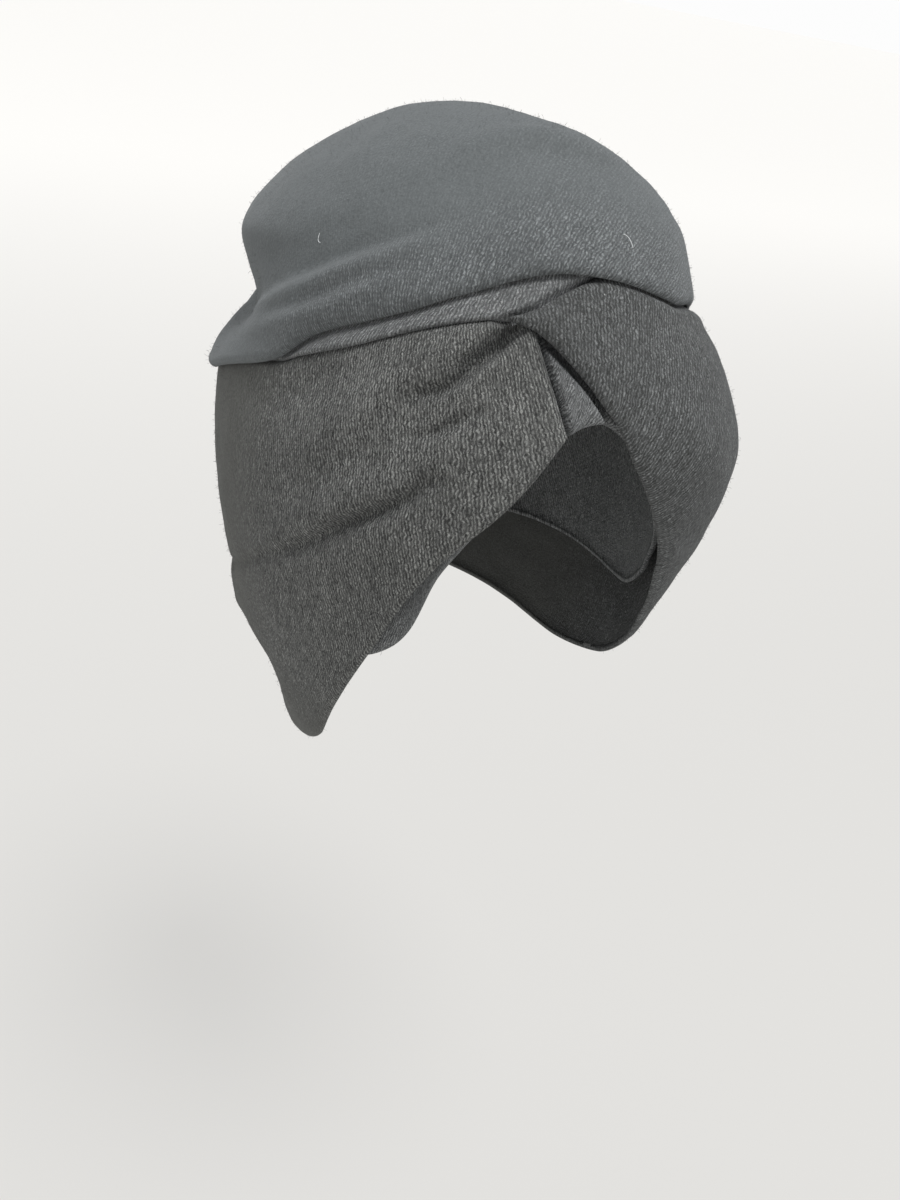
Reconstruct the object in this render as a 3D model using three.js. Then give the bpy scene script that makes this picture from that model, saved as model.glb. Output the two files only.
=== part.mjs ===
// A turban headwrap of soft boiled-wool knit, kept in the form that it has on a head.
// Units are millimetres, +Z is up and the wearer faces -Y, so the wearer's right side is -X.
// A place on the wrap is a heading (0 at the front, negative towards the wearer's right, 180 at
// the back), a latitude (90 at the top) and a stand-off from the head, measured square to it.
import * as THREE from 'three';
import { mergeVertices } from 'three/addons/utils/BufferGeometryUtils.js';

// The head that the wrap fits, about 57 cm round
const HEAD_WIDTH = 148;
const HEAD_LENGTH = 190;
const HEAD_RISE = 105;
const HEAD_DROP = 150;
const HEAD_CENTRE_BACK = 4;
const HEAD_CENTRE_UP = 5;

// The cloth
const BAND_WALL = 2.0;
const WRAP_WALL = 2.4;
const FOLD_WALL = 1.6;
const CROWN_WALL = 2.6;
const LAYER_GAP = 1.6;
const BAND_GAP = 1.5;
const FOLD_GAP = 1.2;
const SEAM_GAP = 0.4;

// How far each piece stands off the head at its fullest
const BAND_STANDOFF = 2.6;
const WRAP_FULLNESS = 10;
const ROLL_FULLNESS = 22;
const FOLD_STANDOFF = 9.4;
const FOLD_SINK = 3.2;
const CROWN_FULLNESS = 20;
const FOLD_DEPTH = 5;

// A skin that comes out from under an edge stays low for a margin (degrees), and then rises (mm
// for each degree). The corner between the two is rounded (mm).
const EDGE_MARGIN = 3.5;
const EDGE_RISE = 1.3;
const FOLD_MARGIN = 0.5;
const FOLD_RISE = 1.6;
const CORNER_ROUND = 1.2;

// The strip sinks between these headings, where the left wrap crosses it. Behind its start, by
// some degrees, the right wrap lies straight under the crown.
const SINK_START = -24;
const SINK_FULL = -8;
const BEHIND_FOLD = 4;

// A wrap's hem turns in to this stand-off over a share of its height, from a share of its length
const HEM_HUG = 7.5;
const HEM_START = -0.02;
const RIGHT_HUG = { height: 0.12, from: 0.02 };
const LEFT_HUG = { height: 0.3, from: 0.34 };

// How each skin is divided into facets: lengthwise, then from hem to top edge
const BAND_CELLS = [46, 4];
const RIGHT_CELLS = [44, 19];
const FOLD_CELLS = [36, 6];
const LEFT_CELLS = [44, 15];
const CROWN_CELLS = [62, 13];
const FOLD_STEPS = 24;
const WELD = 1e-4;

// The crown's lower edge, all round the head
const CROWN_EDGE = [
  { heading: -180, latitude: 11 },
  { heading: -160, latitude: 10.6 },
  { heading: -140, latitude: 9.8 },
  { heading: -128, latitude: 9.4 },
  { heading: -120, latitude: 9.6 },
  { heading: -112, latitude: 11.6 },
  { heading: -103, latitude: 15.6 },
  { heading: -92, latitude: 20.1 },
  { heading: -83, latitude: 23.4 },
  { heading: -77, latitude: 25.6 },
  { heading: -72, latitude: 28 },
  { heading: -67.5, latitude: 31.4 },
  { heading: -63.5, latitude: 34.2 },
  { heading: -57.3, latitude: 36.9 },
  { heading: -51.6, latitude: 38.7 },
  { heading: -40.9, latitude: 41.8 },
  { heading: -31.3, latitude: 44.7 },
  { heading: -21.8, latitude: 47.2 },
  { heading: -13.9, latitude: 48.8 },
  { heading: -5.5, latitude: 49.3 },
  { heading: 1.5, latitude: 48.9 },
  { heading: 9.3, latitude: 48 },
  { heading: 17.3, latitude: 46.6 },
  { heading: 25.2, latitude: 45.4 },
  { heading: 42, latitude: 45 },
  { heading: 60, latitude: 41.8 },
  { heading: 80, latitude: 32.6 },
  { heading: 100, latitude: 22 },
  { heading: 125, latitude: 15.5 },
  { heading: 150, latitude: 12 },
  { heading: 180, latitude: 11 },
];

// The crown's stand-off as shares of its fullness. A row is a level, from the edge (rise 0) to
// the top (rise 1), and a column is a heading.
const CROWN_HEADINGS = [-180, -120, -60, 0, 45, 100, 180];
const CROWN_FORM = [
  { rise: 0, at: [0.65, 0.66, 0.57, 0.7, 0.64, 0.78, 0.65] },
  { rise: 0.08, at: [0.7, 0.57, 0.65, 0.73, 0.7, 0.8, 0.7] },
  { rise: 0.15, at: [0.75, 0.56, 0.71, 0.75, 0.76, 0.8, 0.75] },
  { rise: 0.26, at: [0.83, 0.64, 0.78, 0.75, 0.86, 0.8, 0.83] },
  { rise: 0.33, at: [0.86, 0.72, 0.8, 0.76, 0.87, 0.83, 0.86] },
  { rise: 0.4, at: [0.88, 0.94, 0.82, 0.76, 0.87, 0.85, 0.88] },
  { rise: 0.54, at: [0.83, 0.87, 0.81, 0.77, 0.81, 0.82, 0.83] },
  { rise: 0.66, at: [0.76, 0.73, 0.78, 0.76, 0.75, 0.77, 0.76] },
  { rise: 0.77, at: [0.7, 0.67, 0.72, 0.72, 0.68, 0.7, 0.7] },
  { rise: 0.88, at: [0.62, 0.63, 0.64, 0.64, 0.6, 0.61, 0.62] },
  { rise: 1, at: [0.54, 0.54, 0.54, 0.54, 0.54, 0.54, 0.54] },
];

// The fold strip that shows under the crown: its top edge, under the crown, and its lower edge
const FOLD_STATIONS = [
  { share: 0, topHeading: -104, topLatitude: 25, hemHeading: -104, hemLatitude: 18 },
  { share: 0.1, topHeading: -91, topLatitude: 29, hemHeading: -92, hemLatitude: 22 },
  { share: 0.2, topHeading: -79, topLatitude: 33, hemHeading: -82, hemLatitude: 25 },
  { share: 0.3, topHeading: -68, topLatitude: 38, hemHeading: -73.5, hemLatitude: 27 },
  { share: 0.38, topHeading: -60, topLatitude: 41.5, hemHeading: -65.5, hemLatitude: 30 },
  { share: 0.48, topHeading: -48, topLatitude: 45.5, hemHeading: -51.6, hemLatitude: 34.6 },
  { share: 0.58, topHeading: -36, topLatitude: 48.5, hemHeading: -40.5, hemLatitude: 38.3 },
  { share: 0.68, topHeading: -26, topLatitude: 51, hemHeading: -30.4, hemLatitude: 40.8 },
  { share: 0.78, topHeading: -16, topLatitude: 53, hemHeading: -20.6, hemLatitude: 42.3 },
  { share: 0.86, topHeading: -7, topLatitude: 54, hemHeading: -10, hemLatitude: 43.2 },
  { share: 0.93, topHeading: 6, topLatitude: 53.5, hemHeading: 4, hemLatitude: 44 },
  { share: 1, topHeading: 22, topLatitude: 51.5, hemHeading: 22, hemLatitude: 45.5 },
];

// The right wrap fans out from the knot, round the side and the back of the head to the seam
const RIGHT_STATIONS = [
  { share: 0, topHeading: -14.8, topLatitude: 44, hemHeading: -6.6, hemLatitude: 24.2 },
  { share: 0.08, topHeading: -24, topLatitude: 44, hemHeading: -14.8, hemLatitude: 11.9 },
  { share: 0.16, topHeading: -33, topLatitude: 43, hemHeading: -23.4, hemLatitude: 1 },
  { share: 0.25, topHeading: -43, topLatitude: 41, hemHeading: -29.7, hemLatitude: -11 },
  { share: 0.34, topHeading: -54, topLatitude: 37.5, hemHeading: -35.3, hemLatitude: -26 },
  { share: 0.43, topHeading: -66, topLatitude: 33.5, hemHeading: -41.5, hemLatitude: -40 },
  { share: 0.52, topHeading: -79, topLatitude: 28.5, hemHeading: -47.6, hemLatitude: -51.8 },
  { share: 0.56, topHeading: -86, topLatitude: 25.8, hemHeading: -50.8, hemLatitude: -57 },
  { share: 0.6, topHeading: -92, topLatitude: 23, hemHeading: -56, hemLatitude: -61 },
  { share: 0.65, topHeading: -101, topLatitude: 19.8, hemHeading: -64, hemLatitude: -64 },
  { share: 0.7, topHeading: -110, topLatitude: 16.6, hemHeading: -75, hemLatitude: -65.5 },
  { share: 0.75, topHeading: -119, topLatitude: 14.2, hemHeading: -89, hemLatitude: -64.5 },
  { share: 0.81, topHeading: -131, topLatitude: 13.8, hemHeading: -105, hemLatitude: -61 },
  { share: 0.89, topHeading: -152, topLatitude: 14, hemHeading: -138, hemLatitude: -52 },
  { share: 1, topHeading: -180, topLatitude: 15.5, hemHeading: -180, hemLatitude: -45 },
];

// The left wrap starts in a point at the knot and rolls over the temple, round to the seam
const LEFT_STATIONS = [
  { share: 0, topHeading: -19.2, topLatitude: 42.3, hemHeading: -19.1, hemLatitude: 42 },
  { share: 0.05, topHeading: -13.4, topLatitude: 44.1, hemHeading: -13.1, hemLatitude: 40.1 },
  { share: 0.1, topHeading: -7.9, topLatitude: 46.7, hemHeading: -7.6, hemLatitude: 36.4 },
  { share: 0.145, topHeading: -1.8, topLatitude: 48.9, hemHeading: -3.4, hemLatitude: 32.7 },
  { share: 0.185, topHeading: 4, topLatitude: 50.6, hemHeading: -0.2, hemLatitude: 29.2 },
  { share: 0.23, topHeading: 12, topLatitude: 51.3, hemHeading: 3, hemLatitude: 25.8 },
  { share: 0.275, topHeading: 21, topLatitude: 51, hemHeading: 6.8, hemLatitude: 20.2 },
  { share: 0.325, topHeading: 31, topLatitude: 50.3, hemHeading: 11.4, hemLatitude: 14.4 },
  { share: 0.375, topHeading: 43, topLatitude: 49.5, hemHeading: 16.4, hemLatitude: 7.4 },
  { share: 0.43, topHeading: 56, topLatitude: 46.5, hemHeading: 22, hemLatitude: -1 },
  { share: 0.485, topHeading: 70, topLatitude: 40.5, hemHeading: 27.4, hemLatitude: -14 },
  { share: 0.545, topHeading: 86, topLatitude: 33, hemHeading: 36, hemLatitude: -30 },
  { share: 0.62, topHeading: 104, topLatitude: 26, hemHeading: 53, hemLatitude: -45 },
  { share: 0.715, topHeading: 124, topLatitude: 20.5, hemHeading: 82, hemLatitude: -54 },
  { share: 0.845, topHeading: 150, topLatitude: 16.5, hemHeading: 124, hemLatitude: -53 },
  { share: 1, topHeading: 180, topLatitude: 15.5, hemHeading: 180, hemLatitude: -45 },
];

// The band under both wraps shows at the brow, between their hems, and at the right temple
const BAND_STATIONS = [
  { share: 0, topHeading: -180, topLatitude: 6, hemHeading: -180, hemLatitude: -34 },
  { share: 0.1, topHeading: -130, topLatitude: 8, hemHeading: -128, hemLatitude: -35 },
  { share: 0.18, topHeading: -88, topLatitude: 10, hemHeading: -82, hemLatitude: -39 },
  { share: 0.24, topHeading: -60, topLatitude: 16, hemHeading: -50, hemLatitude: -36 },
  { share: 0.3, topHeading: -42, topLatitude: 24, hemHeading: -31.6, hemLatitude: -25 },
  { share: 0.37, topHeading: -26, topLatitude: 35, hemHeading: -24.6, hemLatitude: -4.5 },
  { share: 0.46, topHeading: -14, topLatitude: 43, hemHeading: -12.6, hemLatitude: 17 },
  { share: 0.52, topHeading: -5, topLatitude: 44, hemHeading: -6.3, hemLatitude: 24.3 },
  { share: 0.57, topHeading: 0, topLatitude: 44, hemHeading: -0.8, hemLatitude: 26.4 },
  { share: 0.62, topHeading: 6, topLatitude: 43, hemHeading: 5, hemLatitude: 25.6 },
  { share: 0.68, topHeading: 14, topLatitude: 38, hemHeading: 12, hemLatitude: 20 },
  { share: 0.75, topHeading: 32, topLatitude: 28, hemHeading: 29, hemLatitude: 0 },
  { share: 0.82, topHeading: 62, topLatitude: 16, hemHeading: 54, hemLatitude: -27 },
  { share: 0.9, topHeading: 122, topLatitude: 8, hemHeading: 118, hemLatitude: -35 },
  { share: 1, topHeading: 180, topLatitude: 6, hemHeading: 180, hemLatitude: -34 },
];

// The wraps' stand-off as shares of their fullness. A row is a latitude, a column a heading.
const RIGHT_HEADINGS = [-180, -150, -115, -90, -60, -30, 0];
const RIGHT_FORM = [
  { latitude: 45, at: [0.8, 0.75, 0.65, 0.64, 0.78, 0.86, 0.84] },
  { latitude: 30, at: [0.8, 0.78, 0.75, 0.72, 0.82, 0.87, 0.82] },
  { latitude: 10, at: [0.8, 0.84, 0.86, 0.86, 0.96, 0.9, 0.75] },
  { latitude: -10, at: [0.78, 0.76, 0.74, 0.84, 0.96, 0.82, 0.66] },
  { latitude: -25, at: [0.72, 0.66, 0.56, 0.74, 0.84, 0.72, 0.62] },
  { latitude: -39, at: [0.62, 0.5, 0.32, 0.54, 0.7, 0.64, 0.6] },
  { latitude: -47, at: [0.58, 0.44, 0.52, 0.46, 0.62, 0.6, 0.55] },
  { latitude: -51, at: [0.54, 0.25, 0.02, 0.12, 0.56, 0.57, 0.52] },
  { latitude: -57, at: [0.5, 0.06, -0.5, -0.2, 0.56, 0.5, 0.45] },
  { latitude: -66, at: [0.45, 0.2, 0.1, 0.16, 0.5, 0.47, 0.42] },
  { latitude: -72, at: [0.4, 0.35, 0.45, 0.45, 0.42, 0.45, 0.4] },
];
const LEFT_HEADINGS = [-20, 0, 18, 36, 60, 90, 120, 180];
const LEFT_FORM = [
  { latitude: 49, at: [0.55, 0.5, 0.54, 0.56, 0.56, 0.56, 0.44, 0.36] },
  { latitude: 42, at: [0.55, 0.5, 0.55, 0.6, 0.62, 0.57, 0.45, 0.36] },
  { latitude: 36, at: [0.5, 0.49, 0.64, 0.74, 0.7, 0.56, 0.44, 0.36] },
  { latitude: 29, at: [0.47, 0.48, 0.74, 0.87, 0.8, 0.57, 0.45, 0.36] },
  { latitude: 20, at: [0.45, 0.46, 0.84, 1.02, 0.88, 0.6, 0.46, 0.36] },
  { latitude: 11, at: [0.44, 0.46, 0.84, 0.98, 0.86, 0.6, 0.45, 0.36] },
  { latitude: 3, at: [0.42, 0.48, 0.78, 0.88, 0.8, 0.57, 0.42, 0.36] },
  { latitude: -6, at: [0.4, 0.48, 0.66, 0.78, 0.74, 0.53, 0.39, 0.35] },
  { latitude: -15, at: [0.4, 0.45, 0.55, 0.66, 0.64, 0.48, 0.36, 0.34] },
  { latitude: -40, at: [0.3, 0.3, 0.34, 0.42, 0.42, 0.3, 0.2, 0.28] },
  { latitude: -64, at: [0.18, 0.18, 0.18, 0.18, 0.16, 0.08, 0.05, 0.2] },
];

// The folds. A row's path is its places (heading, latitude), with its height at each of them as a
// share of the fold depth (a groove is negative), and its half width in mm.
const CROWN_FOLDS = [
  {
    path: [[-165, 21], [-147, 23], [-127, 26.5], [-107, 32], [-88, 39], [-60, 50], [-28, 60]],
    height: [0, -0.9, -2, -1.7, -0.8, -0.45, 0],
    width: 8.4,
  },
  { path: [[-84, 36], [-58, 47.5], [-29, 56]], height: [0.1, 0.42, 0], width: 4.5 },
  { path: [[-76, 33.5], [-55, 42.5], [-30, 51.5]], height: [0.2, 0.45, 0], width: 4.5 },
  { path: [[-52, 65], [-12, 73], [38, 68]], height: [0, 0.4, 0.2], width: 5 },
];
const RIGHT_FOLDS = [
  { path: [[-18, 41], [-25, 34.5], [-38, 28]], height: [-0.5, -1, -0.1], width: 3 },
  { path: [[-24, 40], [-38, 31], [-64, 7]], height: [0.25, 0.6, 0], width: 5 },
  { path: [[-23, 27], [-28, 24], [-35, 20]], height: [0, -0.45, 0], width: 4 },
  {
    path: [[-29, 14.5], [-43, 1.5], [-63, -16], [-88, -31], [-112, -42]],
    height: [-0.2, -0.7, -0.3, -0.35, -0.3],
    width: 4.5,
  },
  { path: [[-30, 20], [-46, 8], [-72, -12]], height: [0.1, 0.35, 0], width: 6 },
];
const LEFT_FOLDS = [
  { path: [[-8, 44], [8, 40], [34, 34]], height: [0, -0.25, 0], width: 7 },
  { path: [[16, 20], [30, 8], [44, -8]], height: [0, -0.25, 0], width: 8 },
];

// A smooth line through the rows of a table
function through(xs, ys, x) {
  const last = xs.length - 1;
  const at = THREE.MathUtils.clamp(x, xs[0], xs[last]);
  let i = 0;
  while (i < last - 1 && at > xs[i + 1]) i += 1;
  const slope = (k) => {
    const before = Math.max(k - 1, 0);
    const after = Math.min(k + 1, last);
    return (ys[after] - ys[before]) / (xs[after] - xs[before]);
  };
  const step = xs[i + 1] - xs[i];
  const t = (at - xs[i]) / step;
  const bend = t * t * (3 - 2 * t);
  const leave = t * (1 - t) * (1 - t);
  const arrive = t * t * (t - 1);
  return ys[i] * (1 - bend) + ys[i + 1] * bend + step * (slope(i) * leave + slope(i + 1) * arrive);
}

function column(table, name) {
  return table.map((row) => row[name]);
}

// A table of levels and headings, read smoothly both ways
function readForm(table, key, headings, level, heading) {
  const across = table.map((row) => through(headings, row.at, heading));
  const levels = column(table, key);
  const rising = levels[0] < levels[levels.length - 1];
  if (rising) return through(levels, across, level);
  return through([...levels].reverse(), across.reverse(), level);
}

// A place on the head, and the direction square to it there
function onHead(heading, latitude) {
  const turn = THREE.MathUtils.degToRad(heading);
  const lift = THREE.MathUtils.degToRad(latitude);
  const way = new THREE.Vector3(
    Math.cos(lift) * Math.sin(turn), -Math.cos(lift) * Math.cos(turn), Math.sin(lift));
  const half = new THREE.Vector3(HEAD_WIDTH / 2, HEAD_LENGTH / 2, way.z > 0 ? HEAD_RISE : HEAD_DROP);
  const reach = 1 / way.clone().divide(half).length();
  const square = way.clone().divide(half).divide(half).normalize();
  const centre = new THREE.Vector3(0, HEAD_CENTRE_BACK, HEAD_CENTRE_UP);
  return { point: way.multiplyScalar(reach).add(centre), square };
}

// The height of all folds of a table at one place
function foldHeight(folds, heading, latitude) {
  const here = onHead(heading, latitude).point;
  let height = 0;
  for (const fold of folds) {
    fold.line ??= new THREE.CatmullRomCurve3(fold.path.map((place) => onHead(...place).point))
      .getPoints(FOLD_STEPS);
    const gaps = fold.line.map((point) => point.distanceTo(here));
    const gap = Math.min(...gaps);
    const along = gaps.indexOf(gap) / FOLD_STEPS * (fold.path.length - 1);
    const strength = through([...fold.height.keys()], fold.height, along);
    height += FOLD_DEPTH * strength * Math.exp(-0.5 * (gap / fold.width) ** 2);
  }
  return height;
}

// The edges of a piece between its stations
function betweenEdges(stations) {
  const shares = column(stations, 'share');
  const edges = ['topHeading', 'topLatitude', 'hemHeading', 'hemLatitude']
    .map((name) => column(stations, name));
  return (u, v) => {
    const [topH, topL, hemH, hemL] = edges.map((values) => through(shares, values, u));
    return [hemH + (topH - hemH) * v, hemL + (topL - hemL) * v];
  };
}

function crownEdge(heading) {
  return through(column(CROWN_EDGE, 'heading'), column(CROWN_EDGE, 'latitude'), heading);
}

function foldHem(heading) {
  const headings = column(FOLD_STATIONS, 'hemHeading');
  return through(headings, column(FOLD_STATIONS, 'hemLatitude'), heading);
}

// How far a skin may rise again once it has come out from under an edge
function beyond(edge, latitude) {
  return EDGE_RISE * Math.max(0, edge - latitude - EDGE_MARGIN);
}

// The lower of two heights, with the corner between them rounded
function lower(a, b) {
  const part = THREE.MathUtils.clamp(0.5 + (b - a) / (2 * CORNER_ROUND), 0, 1);
  return b + (a - b) * part - CORNER_ROUND * part * (1 - part);
}

// Outer skins, as stand-offs. A skin that runs under another stays below that one's inner side.
function crownSkin(heading, latitude) {
  const edge = crownEdge(heading);
  const rise = (latitude - edge) / (90 - edge);
  const form = readForm(CROWN_FORM, 'rise', CROWN_HEADINGS, rise, heading);
  return CROWN_FULLNESS * form + foldHeight(CROWN_FOLDS, heading, latitude);
}

function foldSkin(heading, latitude) {
  const below = crownEdge(heading) - latitude;
  const own = FOLD_STANDOFF
    - FOLD_SINK * THREE.MathUtils.smoothstep(heading, SINK_START, SINK_FULL);
  const cover = crownSkin(heading, latitude) - CROWN_WALL - FOLD_GAP;
  return lower(own, cover + FOLD_RISE * Math.max(0, below - FOLD_MARGIN));
}

function rightSkin(heading, latitude) {
  const form = readForm(RIGHT_FORM, 'latitude', RIGHT_HEADINGS, latitude, heading);
  const own = WRAP_FULLNESS * form + foldHeight(RIGHT_FOLDS, heading, latitude);
  if (heading < FOLD_STATIONS[0].hemHeading - BEHIND_FOLD) {
    const crownInside = crownSkin(heading, latitude) - CROWN_WALL;
    return lower(own, crownInside - LAYER_GAP + beyond(crownEdge(heading), latitude));
  }
  const foldInside = foldSkin(heading, latitude) - FOLD_WALL;
  return lower(own, foldInside - LAYER_GAP + beyond(foldHem(heading), latitude));
}

function leftSkin(heading, latitude) {
  const form = readForm(LEFT_FORM, 'latitude', LEFT_HEADINGS, latitude, heading);
  const own = ROLL_FULLNESS * form + foldHeight(LEFT_FOLDS, heading, latitude);
  const cover = crownSkin(heading, latitude) - CROWN_WALL - LAYER_GAP;
  return lower(own, cover + beyond(crownEdge(heading), latitude));
}

// The band gives way where a wrap dips
function bandSkin(heading, latitude) {
  const wrap = heading < 0 ? rightSkin(heading, latitude) : leftSkin(heading, latitude);
  return lower(BAND_STANDOFF, wrap - WRAP_WALL - BAND_GAP);
}

// A closed piece of cloth: an outer and an inner skin over the same grid, joined at the edges.
// place gives heading and latitude for the share u lengthwise and v from the hem to the top.
function cloth(name, [long, high], place, skin, wall, ring = false) {
  const points = [];
  const across = ring ? long : long + 1;
  for (const depth of [0, wall]) {
    for (let i = 0; i < across; i++) {
      for (let j = 0; j <= high; j++) {
        const [heading, latitude] = place(i / long, j / high);
        const { point, square } = onHead(heading, latitude);
        const standoff = skin(heading, latitude, i / long, j / high) - depth;
        points.push(point.addScaledVector(square, standoff));
      }
    }
  }
  const layer = across * (high + 1);
  const at = (side, i, j) => side * layer + (i % across) * (high + 1) + j;
  const faces = [];
  const backwards = place(1, 0.5)[0] < place(0, 0.5)[0];
  const quad = (a, b, c, d) => {
    if (backwards) faces.push([c, b, a], [d, c, a]);
    else faces.push([a, b, c], [a, c, d]);
  };
  for (let i = 0; i < long; i++) {
    for (let j = 0; j < high; j++) {
      quad(at(0, i, j), at(0, i + 1, j), at(0, i + 1, j + 1), at(0, i, j + 1));
      quad(at(1, i, j), at(1, i, j + 1), at(1, i + 1, j + 1), at(1, i + 1, j));
    }
    quad(at(0, i + 1, 0), at(0, i, 0), at(1, i, 0), at(1, i + 1, 0));
    quad(at(0, i, high), at(0, i + 1, high), at(1, i + 1, high), at(1, i, high));
  }
  if (!ring) {
    for (let j = 0; j < high; j++) {
      quad(at(0, 0, j), at(0, 0, j + 1), at(1, 0, j + 1), at(1, 0, j));
      quad(at(0, long, j + 1), at(0, long, j), at(1, long, j), at(1, long, j + 1));
    }
  }
  const geometry = new THREE.BufferGeometry();
  geometry.setFromPoints(points);
  geometry.setIndex(faces.flat());
  const welded = mergeVertices(geometry, WELD);
  const index = welded.getIndex();
  const kept = [];
  for (let k = 0; k < index.count; k += 3) {
    const [a, b, c] = [index.getX(k), index.getX(k + 1), index.getX(k + 2)];
    if (a !== b && b !== c && c !== a) kept.push(a, b, c);
  }
  welded.setIndex(kept);
  welded.computeVertexNormals();
  const knit = new THREE.MeshStandardMaterial({ color: 0x303134, roughness: 0.95, metalness: 0 });
  const mesh = new THREE.Mesh(welded, knit);
  mesh.name = name;
  return mesh;
}

// The band closes on itself under the wraps
function underBand() {
  return cloth('under_band', BAND_CELLS, betweenEdges(BAND_STATIONS), bandSkin, BAND_WALL, true);
}

// A wrap's skin with its hem turned in to the head
function hugging(skin, hug) {
  return (heading, latitude, u, v) => {
    const free = skin(heading, latitude);
    const hold = THREE.MathUtils.smoothstep(u, hug.from / 2, hug.from);
    const hem = free + (Math.min(free, HEM_HUG) - free) * hold;
    return hem + (free - hem) * Math.sqrt(THREE.MathUtils.smoothstep(v, HEM_START, hug.height));
  };
}

// Both wraps end just short of the centre of the back, where the seam is
function seamed(place, side) {
  const seam = THREE.MathUtils.radToDeg(SEAM_GAP / HEAD_LENGTH) * side;
  return (u, v) => {
    const [heading, latitude] = place(u, v);
    return [heading - seam * u, latitude];
  };
}

function rightWrap() {
  const place = seamed(betweenEdges(RIGHT_STATIONS), -1);
  return cloth('right_wrap', RIGHT_CELLS, place, hugging(rightSkin, RIGHT_HUG), WRAP_WALL);
}

function crownFold() {
  return cloth('crown_fold', FOLD_CELLS, betweenEdges(FOLD_STATIONS), foldSkin, FOLD_WALL);
}

function leftWrap() {
  const place = seamed(betweenEdges(LEFT_STATIONS), 1);
  return cloth('left_wrap', LEFT_CELLS, place, hugging(leftSkin, LEFT_HUG), WRAP_WALL);
}

function crown() {
  const place = (u, v) => {
    const heading = -180 + 360 * u;
    const edge = crownEdge(heading);
    return [heading, edge + (90 - edge) * v];
  };
  return cloth('crown', CROWN_CELLS, place, crownSkin, CROWN_WALL, true);
}

const turban = new THREE.Group();
turban.add(underBand(), rightWrap(), crownFold(), leftWrap(), crown());

export default turban;
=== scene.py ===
import math

import bmesh
import bpy
import numpy as np
from mathutils import Matrix, Vector, noise


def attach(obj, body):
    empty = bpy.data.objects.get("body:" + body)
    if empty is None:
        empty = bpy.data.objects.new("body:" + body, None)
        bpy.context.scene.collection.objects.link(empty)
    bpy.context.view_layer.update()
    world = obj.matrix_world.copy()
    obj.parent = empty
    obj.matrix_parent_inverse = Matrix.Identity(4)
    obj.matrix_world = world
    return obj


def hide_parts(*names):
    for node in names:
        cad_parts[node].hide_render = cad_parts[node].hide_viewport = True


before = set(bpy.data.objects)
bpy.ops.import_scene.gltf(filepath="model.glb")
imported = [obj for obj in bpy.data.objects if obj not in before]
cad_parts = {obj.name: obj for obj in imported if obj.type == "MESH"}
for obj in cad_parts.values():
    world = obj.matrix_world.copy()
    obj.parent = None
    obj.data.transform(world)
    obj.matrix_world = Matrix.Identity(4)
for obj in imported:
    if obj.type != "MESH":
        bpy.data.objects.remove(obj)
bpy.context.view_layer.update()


# The studio: a pale floor well below the wrap, which is held up as a head holds it. Soft light
# falls from a wide lamp and from a sky that is brightest overhead. The floor is lit from
# within, so that it stays even out to the horizon and fills in from below.
FLOOR_DROP = 0.42
FLOOR_REACH = 60.0
FLOOR_COLOUR = (0.2, 0.196, 0.187, 1)
FLOOR_GLOW = (1, 0.99, 0.965, 1)
GLOW_NEAR = (0, 0.52)
GLOW_FAR = (3, 0.8)
SKY = (
    # share of the way from the horizon to overhead, colour
    (0, (0.98, 0.98, 0.98, 1)), (0.05, (0.98, 0.98, 0.98, 1)), (0.25, (0.4, 0.4, 0.41, 1)),
    (0.7, (0.6, 0.61, 0.63, 1)), (1, (1, 1, 1, 1)),
)

bpy.context.scene.view_settings.view_transform = "Standard"
floor_shape = bmesh.new()
bmesh.ops.create_grid(floor_shape, x_segments=1, y_segments=1, size=FLOOR_REACH,
                      matrix=Matrix.Translation((0, 0, -FLOOR_DROP)))
floor_mesh = bpy.data.meshes.new("floor")
floor_shape.to_mesh(floor_mesh)
floor_shape.free()
floor = bpy.data.objects.new("floor", floor_mesh)
bpy.context.scene.collection.objects.link(floor)
floor_paint = bpy.data.materials.new("floor_paint")
floor_paint.use_nodes = True
floor_paint.node_tree.nodes["Principled BSDF"].inputs["Base Color"].default_value = FLOOR_COLOUR
floor_paint.node_tree.nodes["Principled BSDF"].inputs["Roughness"].default_value = 0.9
floor_tree = floor_paint.node_tree
floor_where = floor_tree.nodes.new("ShaderNodeTexCoord")
floor_parts = floor_tree.nodes.new("ShaderNodeSeparateXYZ")
floor_tree.links.new(floor_where.outputs["Object"], floor_parts.inputs["Vector"])
glow = floor_tree.nodes.new("ShaderNodeMapRange")
glow.interpolation_type = "SMOOTHSTEP"
glow.inputs["From Min"].default_value = GLOW_NEAR[0]
glow.inputs["From Max"].default_value = GLOW_FAR[0]
glow.inputs["To Min"].default_value = GLOW_NEAR[1]
glow.inputs["To Max"].default_value = GLOW_FAR[1]
floor_tree.links.new(floor_parts.outputs["Y"], glow.inputs["Value"])
floor_shader = floor_tree.nodes["Principled BSDF"]
floor_shader.inputs["Emission Color"].default_value = FLOOR_GLOW
floor_tree.links.new(glow.outputs["Result"], floor_shader.inputs["Emission Strength"])
floor_mesh.materials.append(floor_paint)

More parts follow.
